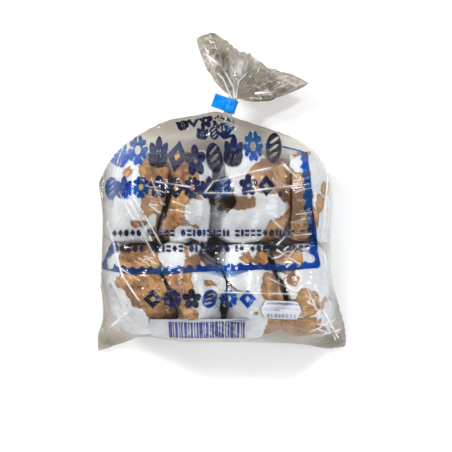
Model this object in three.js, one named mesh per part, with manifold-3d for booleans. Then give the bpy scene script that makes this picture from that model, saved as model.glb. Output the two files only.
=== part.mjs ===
// A clear film bag of eight glazed sweet bread rings, lying on its back.
// Millimetres: X runs across the bag, Y from its bottom seam to its tail, and Z up from the table.
// The rings stand on their rims in two rows of four, so that the film over them shows four humps a row.
// The film is drawn tight: it spans from ring to ring and from the rings to the edge of the bag.

import * as THREE from 'three';
import { mergeVertices } from 'three/addons/utils/BufferGeometryUtils.js';
import Module from 'manifold-3d';

const wasm = await Module();
wasm.setup();

// Driving dimensions

const ringRadius = 34;
const ringThickness = 37;
const ringRoundness = 2.7; // 2 would be an ellipsoid, and a high number a plain drum
const ringFloor = 0.6; // film under the rings
const filmClearance = 0.7; // between a ring's crust and the film over it

const rowY = { upper: -3, lower: -70 };

// Each ring's place. turn swings its axis in the plane of the table and lean tips it up, in degrees.
const rings = [
	{ x: -63, row: 'upper', turn: -4, lean: -18 },
	{ x: -25, row: 'upper', turn: 4, lean: -2 },
	{ x: 20, row: 'upper', turn: -6, lean: -30 },
	{ x: 62, row: 'upper', turn: 4, lean: 4 },
	{ x: -60, row: 'lower', turn: 22, lean: -14 },
	{ x: -21, row: 'lower', turn: 6, lean: 3 },
	{ x: 20.5, row: 'lower', turn: -5, lean: -16 },
	{ x: 62, row: 'lower', turn: -10, lean: 8 },
];

// The bag's edge as four lines from ear or shoulder to the next. z is the edge's height over the table.
const leftEar = { x: -92, y: -117, z: 3 };
const rightEar = { x: 92.5, y: -113, z: 3 };
const leftShoulder = { x: -90, y: 8, z: 29 };
const rightShoulder = { x: 72, y: 29, z: 24 };
const edge = {
	bottom: [
		leftEar,
		{ x: -73, y: -110.5, z: 6 },
		{ x: -60, y: -105.5, z: 15 },
		{ x: -30, y: -108, z: 29 },
		{ x: 28, y: -109, z: 28 },
		{ x: 62, y: -111.5, z: 14 },
		{ x: 80, y: -115, z: 4 },
		rightEar,
	],
	right: [
		rightEar,
		{ x: 91, y: -97, z: 9 },
		{ x: 85, y: -78, z: 24 },
		{ x: 80, y: -58, z: 32 },
		{ x: 79.5, y: 10, z: 31 },
		rightShoulder,
	],
	top: [
		leftShoulder,
		{ x: -80, y: 28, z: 24 },
		{ x: -62, y: 43, z: 21 },
		{ x: -38, y: 54, z: 22 },
		{ x: -15, y: 58.3, z: 25 },
		{ x: -4, y: 60.6, z: 26 },
		{ x: 4.5, y: 57.8, z: 26 },
		{ x: 13, y: 54.8, z: 25 },
		{ x: 27, y: 50.5, z: 23 },
		{ x: 56, y: 40, z: 21 },
		rightShoulder,
	],
	left: [
		leftEar,
		{ x: -92, y: -105, z: 6 },
		{ x: -87.5, y: -92, z: 18 },
		{ x: -88, y: -66, z: 30 },
		{ x: -87, y: -12, z: 33 },
		leftShoulder,
	],
};
const seam = 0.8; // thickness of the welded or folded edge

const grid = { across: 46, along: 42 };
const tightening = 500; // passes that draw the film tight
const slack = 0.3; // how far a spot sinks under its neighbours where nothing holds the film up

// The base lies flat on the table over a rounded oblong, and curves up outside it.
const base = { x: -2, y: -38, halfWidth: 62, halfLength: 50, squareness: 4, rise: 46 };

// Sharp folds in the front film, each a ridge from one spot to another
const folds = [
	{ from: [-72, 0], to: [-48, -46], height: 2.2 },
	{ from: [-82, -21], to: [-58, -74], height: 2 },
	{ from: [-12, 1], to: [45, 20], height: 1.8 },
	{ from: [-12, 0], to: [53, -1], height: 1.5 },
	{ from: [37, -20], to: [44, -27], height: 1.5 },
	{ from: [40, -41], to: [54, -49], height: 1.6 },
	{ from: [0, -71], to: [45, -72], height: 1.4 },
	{ from: [60, 10], to: [68, -30], height: 1.8 },
	{ from: [-86, -100], to: [-66, -84], height: 1.8 },
	{ from: [86, -106], to: [68, -76], height: 2.2 },
];
const foldWidth = 3.4;
// Gathers that run out from the neck
const pleats = { count: 15, depth: 1.1, reach: 30 };

// The neck leans to the right, and the tape goes round its straight stretch.
const neck = { x: 6.6, y: 64.4, z: 26, lean: 20, length: 26, narrow: 3.1, foot: 6, head: 3.6 };
const tape = { width: 10, loop: 4.6, wall: 0.5, flag: 13.5, flagThickness: 1.6, gap: 0.4 };

// The tail opens out from the neck as a fan with a long pointed lobe on the right and a blunt one on
// the left. Angles are in degrees from +X. Its rim is given as angles with how far it reaches there.
const tail = {
	start: 2.5,
	head: 7.3, // from the middle of the neck
	right: { atNeck: -33, atRim: 10.7 },
	left: { atNeck: 161, atRim: 122 },
	rim: [
		[10.7, 56.5],
		[16, 51],
		[27, 41.5],
		[41, 33],
		[62, 32.6],
		[71, 35.5],
		[75, 32.7],
		[85, 34.3],
		[94, 40.4],
		[106, 47.6],
		[113, 50.9],
		[122, 52],
	],
	drop: 11, // from the neck down to the rim
	waves: 3.5,
	waveHeight: 5,
	thickness: 1.8,
	steps: { around: 30, out: 12 },
};

const label = { x: 42.5, y: -84, length: 30, width: 14, point: 2.2, thickness: 0.5, gap: 0.35, turn: -2 };

// Materials

const film = new THREE.MeshStandardMaterial({ color: 0xcfcac0, roughness: 0.25, metalness: 0 });
const tapeBlue = new THREE.MeshStandardMaterial({ color: 0x0a8fee, roughness: 0.4, metalness: 0 });
const labelPaper = new THREE.MeshStandardMaterial({ color: 0xe6e7ef, roughness: 0.8, metalness: 0 });

// Solids from three.js geometries, joined by manifold-3d

function toSolid(geometry) {
	const plain = geometry.clone().deleteAttribute('normal').deleteAttribute('uv');
	const merged = mergeVertices(plain, 1e-4);
	const mesh = new wasm.Mesh({
		numProp: 3,
		vertProperties: new Float32Array(merged.attributes.position.array),
		triVerts: new Uint32Array(merged.index.array),
	});
	return new wasm.Manifold(mesh);
}

function toGeometry(solid) {
	const { vertProperties, triVerts } = solid.getMesh();
	const geometry = new THREE.BufferGeometry();
	geometry.setAttribute('position', new THREE.BufferAttribute(vertProperties, 3));
	geometry.setIndex(new THREE.BufferAttribute(triVerts, 1));
	geometry.computeVertexNormals();
	return geometry;
}

// The rings as rounded drums, which is how the film meets them

const drums = rings.map((ring) => {
	const turn = THREE.MathUtils.degToRad(ring.turn);
	const lean = THREE.MathUtils.degToRad(ring.lean);
	const axis = new THREE.Vector3(
		Math.cos(turn) * Math.cos(lean),
		Math.sin(turn) * Math.cos(lean),
		Math.sin(lean),
	);
	return { middle: new THREE.Vector3(ring.x, rowY[ring.row], ringRadius + ringFloor), axis };
});

function insideRing(point) {
	const radius = ringRadius + filmClearance;
	const half = ringThickness / 2 + filmClearance;
	return drums.some(({ middle, axis }) => {
		const offset = point.clone().sub(middle);
		const along = offset.dot(axis);
		const across = Math.sqrt(Math.max(offset.lengthSq() - along * along, 0));
		return (Math.abs(along) / half) ** ringRoundness + (across / radius) ** ringRoundness < 1;
	});
}

// The first height inside a ring on the way from one height to another over a spot on the table
function meetRing(x, y, from, to) {
	const step = Math.sign(to - from) * 0.5;
	for (let z = from; Math.abs(to - z) > 0.5; z += step) {
		if (insideRing(new THREE.Vector3(x, y, z))) return z;
	}
	return null;
}

// The bag's body: a box's grid whose front and back are both stretched over the area inside the edge

function edgeCurves() {
	const curve = (points) => new THREE.CatmullRomCurve3(
		points.map((p) => new THREE.Vector3(p.x, p.y, p.z)),
		false,
		'centripetal',
	);
	return {
		bottom: curve(edge.bottom),
		right: curve(edge.right),
		top: curve(edge.top),
		left: curve(edge.left),
	};
}

// A Coons patch: each spot blends the four edge lines by how near they are.
function stretchedSpots() {
	const { bottom, right, top, left } = edgeCurves();
	const spots = [];
	for (let row = 0; row <= grid.along; row++) {
		const v = row / grid.along;
		const [onLeft, onRight] = [left.getPointAt(v), right.getPointAt(v)];
		spots.push([]);
		for (let i = 0; i <= grid.across; i++) {
			const u = i / grid.across;
			const low = bottom.getPointAt(u).lerp(top.getPointAt(u), v);
			const side = onLeft.clone().lerp(onRight, u);
			const cornersLow = bottom.getPoint(0).lerp(bottom.getPoint(1), u);
			const cornersHigh = top.getPoint(0).lerp(top.getPoint(1), u);
			spots[row].push(low.add(side).sub(cornersLow.lerp(cornersHigh, v)));
		}
	}
	return spots;
}

// Each inner spot takes the mean height of the four round it, near ones counting most, within its limit.
function tighten(spots, limit) {
	const heights = spots.map((line) => line.map((spot) => spot.z));
	const flat = (a, b) => (a.x - b.x) ** 2 + (a.y - b.y) ** 2;
	for (let pass = 0; pass < tightening; pass++) {
		for (let row = 1; row < grid.along; row++) {
			for (let i = 1; i < grid.across; i++) {
				let sum = 0;
				let weights = 0;
				for (const [r, j] of [[row - 1, i], [row + 1, i], [row, i - 1], [row, i + 1]]) {
					const weight = 1 / flat(spots[row][i], spots[r][j]);
					sum += weight * heights[r][j];
					weights += weight;
				}
				heights[row][i] = limit(row, i, sum / weights);
			}
		}
	}
	return heights;
}

function gather(x, y) {
	const away = Math.hypot(x - neck.x, y - neck.y);
	const round = Math.atan2(y - neck.y, x - neck.x);
	const pleat = pleats.depth * Math.exp(-((away / pleats.reach) ** 2)) * Math.cos(pleats.count * round);
	return pleat;
}

function foldHeight(x, y) {
	const spot = new THREE.Vector3(x, y, 0);
	const nearest = new THREE.Vector3();
	let height = 0;
	for (const fold of folds) {
		const line = new THREE.Line3(new THREE.Vector3(...fold.from, 0), new THREE.Vector3(...fold.to, 0));
		const away = line.closestPointToPoint(spot, true, nearest).distanceTo(spot);
		height = Math.max(height, fold.height * Math.exp(-((away / foldWidth) ** 2)));
	}
	return height;
}

function baseCurve(x, y) {
	const across = Math.abs((x - base.x) / base.halfWidth) ** base.squareness;
	const along = Math.abs((y - base.y) / base.halfLength) ** base.squareness;
	return base.rise * Math.max((across + along) ** (1 / base.squareness) - 1, 0) ** 1.5;
}

function bodyGeometry() {
	const spots = stretchedSpots();
	const roof = 2 * (ringRadius + filmClearance) + 3;
	const overRings = ({ x, y }) => meetRing(x, y, roof, ringRadius) ?? 0;
	const underRings = ({ x, y }) => Math.min(meetRing(x, y, 0, ringRadius) ?? roof, baseCurve(x, y));
	const over = spots.map((line) => line.map(overRings));
	const under = spots.map((line) => line.map(underRings));
	const front = tighten(spots, (row, i, z) => Math.max(z - slack, over[row][i]));
	const back = tighten(spots, (row, i, z) => Math.max(Math.min(z, under[row][i]), 0));

	const geometry = new THREE.BoxGeometry(1, 1, 1, grid.across, grid.along, 1);
	const position = geometry.attributes.position;
	for (let k = 0; k < position.count; k++) {
		const i = Math.round((position.getX(k) + 0.5) * grid.across);
		const row = Math.round((position.getY(k) + 0.5) * grid.along);
		const isFront = position.getZ(k) > 0;
		const { x, y } = spots[row][i];
		const onEdge = i === 0 || row === 0 || i === grid.across || row === grid.along;
		if (onEdge) position.setXYZ(k, x, y, front[row][i] + (isFront ? seam : -seam) / 2);
		else if (isFront) position.setXYZ(k, x, y, front[row][i] + seam / 2 + gather(x, y) + foldHeight(x, y));
		else position.setXYZ(k, x, y, Math.max(back[row][i] - seam / 2, 0));
	}
	return geometry;
}

// The neck: a pleated tube along the tape's axis

function neckGeometry() {
	const { length, narrow, foot, head } = neck;
	const geometry = new THREE.CylinderGeometry(1, 1, 1, 24, 12);
	const position = geometry.attributes.position;
	for (let i = 0; i < position.count; i++) {
		const along = position.getY(i); // -0.5 at the body and 0.5 at the tail
		const wide = along < 0 ? foot : head;
		const opening = Math.abs(2 * along) ** 3;
		const radius = narrow + (wide - narrow) * opening;
		const thick = narrow + (Math.min(wide, narrow * 1.2) - narrow) * opening;
		position.setXYZ(i, position.getX(i) * radius, along * length, position.getZ(i) * thick);
	}
	geometry.rotateZ(THREE.MathUtils.degToRad(-neck.lean));
	geometry.translate(neck.x, neck.y, neck.z);
	return geometry;
}

// The tail: a box's grid laid out as a fan, u from its right edge to its left and out from neck to rim

function rimRadius(angle) {
	const { rim } = tail;
	const next = Math.max(rim.findIndex(([end]) => end >= angle), 1);
	const [[fromAngle, fromRadius], [toAngle, toRadius]] = [rim[next - 1], rim[next]];
	return THREE.MathUtils.mapLinear(angle, fromAngle, toAngle, fromRadius, toRadius);
}

function tailPoint(u, out, side) {
	const { right, left, drop, waves, waveHeight, thickness } = tail;
	const rim = rimRadius(THREE.MathUtils.lerp(right.atRim, left.atRim, u));
	const from = THREE.MathUtils.lerp(right.atNeck, right.atRim, Math.sqrt(out));
	const to = THREE.MathUtils.lerp(left.atNeck, left.atRim, Math.sqrt(out));
	const angle = THREE.MathUtils.degToRad(THREE.MathUtils.lerp(from, to, u));
	const radius = THREE.MathUtils.lerp(tail.start, rim, out);
	const wave = waveHeight * out * Math.sin(2 * Math.PI * waves * u + 0.6);
	const z = neck.z - drop * out ** 1.3 + wave + side * thickness * (1.2 - 0.5 * out);
	return [Math.cos(angle) * radius, Math.sin(angle) * radius, z];
}

function tailGeometry() {
	const { around, out } = tail.steps;
	const geometry = new THREE.BoxGeometry(1, 1, 1, around, out, 1);
	const position = geometry.attributes.position;
	const lean = THREE.MathUtils.degToRad(neck.lean);
	const headX = neck.x + Math.sin(lean) * tail.head;
	const headY = neck.y + Math.cos(lean) * tail.head;
	for (let i = 0; i < position.count; i++) {
		const u = 0.5 - position.getX(i);
		const [x, y, z] = tailPoint(u, position.getY(i) + 0.5, position.getZ(i));
		position.setXYZ(i, headX + x, headY + y, z);
	}
	return geometry;
}

function bag() {
	const solid = toSolid(bodyGeometry()).add(toSolid(neckGeometry())).add(toSolid(tailGeometry()));
	const mesh = new THREE.Mesh(toGeometry(solid), film);
	mesh.name = 'bag';
	return mesh;
}

// The tape: a loop round the neck whose two ends are stuck together as a flag on its left

function closureTape() {
	const { width, loop, wall, flag, flagThickness, gap } = tape;
	const half = flagThickness / 2;
	const meet = Math.asin(half / loop);
	const shape = new THREE.Shape();
	shape.absarc(0, 0, loop, Math.PI + meet, Math.PI - meet, false);
	shape.lineTo(-flag + half, half);
	shape.absarc(-flag + half, 0, half, Math.PI / 2, (3 * Math.PI) / 2, false);
	shape.closePath();
	const hole = new THREE.Path();
	hole.absarc(0, 0, Math.max(neck.narrow + gap, loop - wall * 2), 0, 2 * Math.PI, true);
	shape.holes.push(hole);
	const geometry = new THREE.ExtrudeGeometry(shape, {
		depth: width,
		bevelEnabled: false,
		curveSegments: 28,
	});
	geometry.translate(0, 0, -width / 2);
	geometry.rotateX(-Math.PI / 2); // its length now runs along Y
	const mesh = new THREE.Mesh(geometry, tapeBlue);
	mesh.name = 'closure_tape';
	mesh.position.set(neck.x, neck.y, neck.z);
	mesh.rotation.z = THREE.MathUtils.degToRad(-neck.lean);
	return mesh;
}

// The price label: a strip with pointed ends that follows the film under it

function priceLabel(bagMesh) {
	const { length, width, point, thickness, gap, turn } = label;
	const geometry = new THREE.BoxGeometry(length, width, thickness, 12, 6, 1);
	geometry.rotateZ(THREE.MathUtils.degToRad(turn));
	const position = geometry.attributes.position;
	const ray = new THREE.Raycaster();
	const down = new THREE.Vector3(0, 0, -1);
	const filmHeight = (x, y) => {
		ray.set(new THREE.Vector3(x, y, 200), down);
		return ray.intersectObject(bagMesh)[0].point.z;
	};
	const reach = [-1.5, 0, 1.5];
	const heights = [];
	for (let i = 0; i < position.count; i++) {
		const slope = Math.abs(position.getY(i)) / (width / 2);
		const x = position.getX(i) * (1 - (slope * point) / (length / 2)) + label.x;
		const y = position.getY(i) + label.y;
		heights.push(Math.max(...reach.flatMap((dx) => reach.map((dy) => filmHeight(x + dx, y + dy)))));
		position.setXY(i, x, y);
	}
	for (let i = 0; i < position.count; i++) {
		position.setZ(i, heights[i] + gap + thickness / 2 + position.getZ(i));
	}
	const mesh = new THREE.Mesh(geometry, labelPaper);
	mesh.name = 'price_label';
	return mesh;
}

const pack = new THREE.Group();
const bagMesh = bag();
pack.add(bagMesh, closureTape(), priceLabel(bagMesh));

export default pack;
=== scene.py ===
import bpy
import math
import random
from mathutils import Euler, Matrix, Vector, noise
from mathutils.bvhtree import BVHTree
from mathutils.geometry import delaunay_2d_cdt


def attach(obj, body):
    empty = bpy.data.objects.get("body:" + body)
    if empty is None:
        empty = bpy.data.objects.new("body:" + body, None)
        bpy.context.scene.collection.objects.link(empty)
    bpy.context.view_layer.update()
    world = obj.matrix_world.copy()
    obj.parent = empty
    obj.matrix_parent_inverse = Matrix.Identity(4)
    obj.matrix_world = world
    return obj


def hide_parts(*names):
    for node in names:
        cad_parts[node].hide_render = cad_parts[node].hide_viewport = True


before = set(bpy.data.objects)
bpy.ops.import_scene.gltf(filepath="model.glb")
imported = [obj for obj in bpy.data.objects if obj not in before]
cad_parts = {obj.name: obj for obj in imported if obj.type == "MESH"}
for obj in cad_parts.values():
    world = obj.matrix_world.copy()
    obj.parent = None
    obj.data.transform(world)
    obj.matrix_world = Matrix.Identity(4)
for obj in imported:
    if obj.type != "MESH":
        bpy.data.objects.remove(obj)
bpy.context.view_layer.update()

mm = 0.001
mergeDistance = 0.02 * mm


# small helpers

def deselectAll():
    if bpy.context.mode != "OBJECT":
        bpy.ops.object.mode_set(mode="OBJECT")
    bpy.ops.object.select_all(action="DESELECT")


def makeActive(piece):
    deselectAll()
    piece.select_set(True)
    bpy.context.view_layer.objects.active = piece


def applyModifier(piece, kind, **settings):
    makeActive(piece)
    modifier = piece.modifiers.new(kind.lower(), kind)
    for name, value in settings.items():
        setattr(modifier, name, value)
    bpy.ops.object.modifier_apply(modifier=modifier.name)


def smoothShade(piece):
    makeActive(piece)
    bpy.ops.object.shade_smooth()


def copySolid(node, name):
    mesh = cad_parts[node].data.copy()
    mesh.name = name
    piece = bpy.data.objects.new(name, mesh)
    bpy.context.scene.collection.objects.link(piece)
    makeActive(piece)
    bpy.ops.object.mode_set(mode="EDIT")
    bpy.ops.mesh.select_all(action="SELECT")
    bpy.ops.mesh.remove_doubles(threshold=mergeDistance)
    bpy.ops.object.mode_set(mode="OBJECT")
    return piece


def finishPiece(piece, node, material):
    piece.data.materials.clear()
    piece.data.materials.append(material)
    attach(piece, "root")
    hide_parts(node)


def ramp(low, high, value):
    t = min(max((value - low) / (high - low), 0.0), 1.0)
    return t * t * (3 - 2 * t)


def addAttribute(mesh, name, values):
    attribute = mesh.attributes.new(name, "FLOAT", "POINT")
    attribute.data.foreach_set("value", values)


# shader helpers

def newMaterial(name):
    material = bpy.data.materials.new(name)
    material.use_nodes = True
    material.node_tree.nodes.clear()
    return material, material.node_tree


def addNode(tree, kind, inputs=None, **settings):
    node = tree.nodes.new(kind)
    for name, value in settings.items():
        setattr(node, name, value)
    for name, value in (inputs or {}).items():
        if isinstance(value, bpy.types.NodeSocket):
            tree.links.new(value, node.inputs[name])
        else:
            node.inputs[name].default_value = value
    return node


def objectPlace(tree):
    return addNode(tree, "ShaderNodeTexCoord").outputs["Object"]


def finishMaterial(material, shader):
    addNode(material.node_tree, "ShaderNodeOutputMaterial", {"Surface": shader.outputs[0]})
    return material


def calc(tree, operation, a, b=0.0, clamp=False):
    node = addNode(tree, "ShaderNodeMath", {0: a, 1: b}, operation=operation, use_clamp=clamp)
    return node.outputs[0]


def mixColor(tree, factor, a, b):
    node = tree.nodes.new("ShaderNodeMix")
    node.data_type = "RGBA"
    for index, value in ((0, factor), (6, a), (7, b)):
        if isinstance(value, bpy.types.NodeSocket):
            tree.links.new(value, node.inputs[index])
        else:
            node.inputs[index].default_value = value
    return node.outputs[2]


def spread(tree, value, low, high, outLow=0.0, outHigh=1.0):
    node = addNode(tree, "ShaderNodeMapRange", {
        "Value": value, "From Min": low, "From Max": high, "To Min": outLow, "To Max": outHigh,
    }, interpolation_type="SMOOTHSTEP")
    return node.outputs["Result"]


def noiseValue(tree, place, scale, detail, roughness, distortion=0.0):
    node = addNode(tree, "ShaderNodeTexNoise", {
        "Vector": place, "Scale": scale, "Detail": detail,
        "Roughness": roughness, "Distortion": distortion,
    })
    return node.outputs["Fac"]


def attributeValue(tree, name):
    return addNode(tree, "ShaderNodeAttribute", attribute_name=name).outputs["Fac"]


def newGroup(name, inputs, outputs):
    group = bpy.data.node_groups.new(name, "ShaderNodeTree")
    for socketName, kind, value in inputs:
        socket = group.interface.new_socket(name=socketName, in_out="INPUT", socket_type=kind)
        if value is not None:
            socket.default_value = value
    for socketName, kind in outputs:
        group.interface.new_socket(name=socketName, in_out="OUTPUT", socket_type=kind)
    return group, group.nodes.new("NodeGroupInput"), group.nodes.new("NodeGroupOutput")


# the film's fine crinkles, shared by the film, the tape and the label

def makeCrinkleGroup():
    group, given, result = newGroup(
        "filmCrinkle",
        [("Vector", "NodeSocketVector", None), ("Size", "NodeSocketFloat", 1.0)],
        [("Height", "NodeSocketFloat")],
    )
    scaled = addNode(group, "ShaderNodeVectorMath", {0: given.outputs["Vector"], 3: given.outputs["Size"]},
                     operation="SCALE").outputs[0]
    total = None
    # direction in degrees, fineness along and across the crinkles, and height
    for turn, along, across, strength in ((35, 16, 95, 1.0), (115, 22, 130, 0.7), (75, 34, 190, 0.4)):
        place = addNode(group, "ShaderNodeMapping", {
            "Vector": scaled, "Rotation": (0, 0, math.radians(turn)), "Scale": (along, across, 60),
        }).outputs[0]
        wave = noiseValue(group, place, 1.0, 1.5, 0.5, 0.4)
        fold = calc(group, "ABSOLUTE", calc(group, "SUBTRACT", wave, 0.5))
        crest = calc(group, "MULTIPLY", spread(group, fold, 0.0, 0.07, 1.0, 0.0), strength)
        total = crest if total is None else calc(group, "ADD", total, crest)
    group.links.new(total, result.inputs["Height"])
    return group


crinkleGroup = makeCrinkleGroup()


def crinkleBump(tree, place, size, strength, distance):
    group = addNode(tree, "ShaderNodeGroup", node_tree=crinkleGroup)
    tree.links.new(place, group.inputs["Vector"])
    group.inputs["Size"].default_value = size
    return addNode(tree, "ShaderNodeBump", {
        "Height": group.outputs["Height"], "Strength": strength, "Distance": distance,
    }).outputs["Normal"]


# clear film: see-through, with a shine that grows at the edges, and white where it is creased: partly the
# film's own whitening, partly painted highlights along the creases

filmLook = {
    "clear": (0.975, 0.975, 0.97, 1),   # what it lets through over the bread
    "taupe": (0.53, 0.495, 0.435, 1),   # the same where it is bunched or has nothing behind it
    # the white along the creases is partly painted highlight
    "white": (0.9, 0.91, 0.92, 1),      # along its creases
    "creaseHighlightShare": 0.85,                # how much of the light a full crease stops
    "shine": 0.6,                       # share of the mirror image it keeps
    "mostShine": 0.22,
    "roughness": 0.1,
}


def makeFilmMaterial():
    material, tree = newMaterial("clearFilm")
    place = objectPlace(tree)
    normal = crinkleBump(tree, place, 1.0, 0.38, 0.0005)
    passed = mixColor(tree, attributeValue(tree, "tint"), filmLook["clear"], filmLook["taupe"])
    clear = addNode(tree, "ShaderNodeBsdfTransparent", {"Color": passed})
    shine = addNode(tree, "ShaderNodeBsdfGlossy", {
        "Color": (1, 1, 1, 1), "Roughness": filmLook["roughness"], "Normal": normal,
    })
    fresnel = addNode(tree, "ShaderNodeFresnel", {"IOR": 1.45, "Normal": normal}).outputs[0]
    mirror = calc(tree, "MULTIPLY", fresnel, filmLook["shine"])
    mirror = calc(tree, "MINIMUM", mirror, filmLook["mostShine"])
    glossy = addNode(tree, "ShaderNodeMixShader", {0: mirror, 1: clear.outputs[0], 2: shine.outputs[0]})
    white = addNode(tree, "ShaderNodeBsdfPrincipled", {
        "Base Color": filmLook["white"], "Roughness": 0.3, "Normal": normal,
    })
    # painted highlights: white film mixed in along the creases and ridges, by the crease attribute
    creaseHighlight = calc(tree, "MULTIPLY", attributeValue(tree, "crease"), filmLook["creaseHighlightShare"])
    both = addNode(tree, "ShaderNodeMixShader", {0: creaseHighlight, 1: glossy.outputs[0], 2: white.outputs[0]})
    return finishMaterial(material, both)


# printed ink: lets some light through, so it is bright over glaze and dark over crust.
# each colour changes between two shades: what passes through, and the ink's own body

inkLooks = {
    "blue": {
        "passed": ((0.012, 0.13, 0.48, 1), (0.015, 0.25, 0.70, 1)),
        "body": ((0.005, 0.06, 0.34, 1), (0.006, 0.12, 0.55, 1)),
        "cover": 0.22,
    },
    "navy": {
        "passed": ((0.004, 0.012, 0.10, 1), (0.006, 0.05, 0.32, 1)),
        "body": ((0.002, 0.003, 0.020, 1), (0.003, 0.010, 0.08, 1)),
        "cover": 0.74,
    },
}


def makeInkMaterial(name, look):
    material, tree = newMaterial(name)
    place = objectPlace(tree)
    broad = spread(tree, noiseValue(tree, place, 34.0, 1.0, 0.5), 0.4, 0.6)
    least, most = look["cover"] * 0.85, min(look["cover"] * 1.12, 1.0)
    worn = spread(tree, noiseValue(tree, place, 140.0, 3.0, 0.6), 0.3, 0.75, least, most)
    clear = addNode(tree, "ShaderNodeBsdfTransparent", {"Color": mixColor(tree, broad, *look["passed"])})
    solid = addNode(tree, "ShaderNodeBsdfPrincipled", {
        "Base Color": mixColor(tree, broad, *look["body"]), "Roughness": 0.5, "Specular IOR Level": 0.15,
        "Normal": crinkleBump(tree, place, 1.0, 0.3, 0.0005),
    })
    mixed = addNode(tree, "ShaderNodeMixShader", {0: worn, 1: clear.outputs[0], 2: solid.outputs[0]})
    return finishMaterial(material, mixed)


# bread crust with white glaze over part of it

breadLook = {
    "crust": (   # from the darkest to the lightest
        (0.28, (0.045, 0.017, 0.008, 1)),
        (0.42, (0.16, 0.067, 0.021, 1)),
        (0.53, (0.34, 0.168, 0.048, 1)),
        (0.70, (0.52, 0.32, 0.13, 1)),
    ),
    "lighten": -0.09,
    # painted shade in the crust's cracks
    "dentShade": -0.16,
    "pale": (0.37, 0.225, 0.12, 1),
    # darker crust, partly painted shade
    "toastAndShade": (0.115, 0.05, 0.025, 1),
    "pores": (0.12, 0.045, 0.018, 1),
    "glazeRim": (0.17, 0.085, 0.038, 1),
    "glaze": ((0.43, 0.445, 0.465, 1), (0.56, 0.575, 0.595, 1)),
    "thinGlaze": (0.46, 0.35, 0.22, 1),
    # painted shade in the clefts between rings
    "cleft": (0.045, 0.024, 0.015, 1),
}


def crustColor(tree, place, broad, fine):
    look = breadLook
    toast = calc(tree, "ADD", calc(tree, "MULTIPLY", broad, 0.95), calc(tree, "MULTIPLY", fine, 0.25))
    toast = calc(tree, "ADD", toast, look["lighten"])
    # the sunken cracks are darkened: painted shade
    dentShading = calc(tree, "MULTIPLY", attributeValue(tree, "dent"), look["dentShade"])
    toast = calc(tree, "ADD", toast, dentShading)
    colors = addNode(tree, "ShaderNodeValToRGB", {"Fac": toast})
    steps = colors.color_ramp.elements
    darkest, *between, lightest = look["crust"]
    steps[0].position, steps[0].color = darkest
    steps[1].position, steps[1].color = lightest
    for position, color in between:
        steps.new(position).color = color
    tan = spread(tree, noiseValue(tree, place, 38.0, 2.0, 0.5), 0.42, 0.66, 0.0, 0.45)
    tan = calc(tree, "ADD", tan, attributeValue(tree, "pale"), True)
    crust = mixColor(tree, tan, colors.outputs["Color"], look["pale"])
    # darker spots on the crust, partly painted shade
    crust = mixColor(tree, attributeValue(tree, "toastAndShade"), crust, look["toastAndShade"])
    pores = addNode(tree, "ShaderNodeTexVoronoi", {"Vector": place, "Scale": 520.0}).outputs["Distance"]
    return mixColor(tree, spread(tree, pores, 0.05, 0.32, 0.25, 0.0), crust, look["pores"])


def glazeColor(tree, place, edge):
    cloudy = noiseValue(tree, place, 70.0, 4.0, 0.6)
    glaze = mixColor(tree, spread(tree, cloudy, 0.3, 0.7), *breadLook["glaze"])
    thin = spread(tree, edge, 0.78, 1.1, 0.35, 0.0)
    return mixColor(tree, thin, glaze, breadLook["thinGlaze"])


def makeBreadMaterial():
    material, tree = newMaterial("glazedCrust")
    place = objectPlace(tree)
    broad = noiseValue(tree, place, 55.0, 4.0, 0.6, 0.6)
    fine = noiseValue(tree, place, 420.0, 4.0, 0.65)
    edge = calc(tree, "ADD", attributeValue(tree, "glaze"), calc(tree, "MULTIPLY", fine, 0.5))
    rim = calc(tree, "MULTIPLY", spread(tree, edge, 0.38, 0.68), spread(tree, broad, 0.35, 0.6, 0.25, 0.85))
    crust = mixColor(tree, rim, crustColor(tree, place, broad, fine), breadLook["glazeRim"])
    mask = spread(tree, edge, 0.66, 0.82)
    color = mixColor(tree, mask, crust, glazeColor(tree, place, edge))
    # painted shade along the clefts between rings
    color = mixColor(tree, attributeValue(tree, "cleftShade"), color, breadLook["cleft"])

    roughness = calc(tree, "SUBTRACT", 0.68, calc(tree, "MULTIPLY", mask, 0.3))
    lumps = calc(tree, "MULTIPLY", noiseValue(tree, place, 130.0, 2.0, 0.5), 1.2)
    height = calc(tree, "ADD", calc(tree, "ADD", calc(tree, "MULTIPLY", fine, 0.5), mask), lumps)
    bump = addNode(tree, "ShaderNodeBump", {"Height": height, "Strength": 0.7, "Distance": 0.0009})
    solid = addNode(tree, "ShaderNodeBsdfPrincipled", {
        "Base Color": color, "Roughness": roughness, "Normal": bump.outputs["Normal"],
    })
    return finishMaterial(material, solid)


# glossy blue tape

def makeTapeMaterial():
    material, tree = newMaterial("blueTape")
    place = objectPlace(tree)
    cloudy = noiseValue(tree, place, 160.0, 3.0, 0.6)
    color = mixColor(tree, spread(tree, cloudy, 0.3, 0.7), (0.0, 0.15, 0.50, 1), (0.0, 0.235, 0.67, 1))
    solid = addNode(tree, "ShaderNodeBsdfPrincipled", {
        "Base Color": color, "Roughness": spread(tree, cloudy, 0.3, 0.7, 0.24, 0.4),
        "Specular IOR Level": 0.15, "Normal": crinkleBump(tree, place, 1.6, 0.35, 0.0005),
    })
    return finishMaterial(material, solid)


# matt paper and opaque white print

def makePlainMaterial(name, light, dark, roughness):
    material, tree = newMaterial(name)
    place = objectPlace(tree)
    cloudy = noiseValue(tree, place, 210.0, 3.0, 0.6)
    color = mixColor(tree, spread(tree, cloudy, 0.3, 0.75), light, dark)
    solid = addNode(tree, "ShaderNodeBsdfPrincipled", {
        "Base Color": color, "Roughness": spread(tree, cloudy, 0.3, 0.7, roughness, roughness + 0.12),
        "Normal": crinkleBump(tree, place, 1.2, 0.3, 0.0004),
    })
    return finishMaterial(material, solid)


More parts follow.
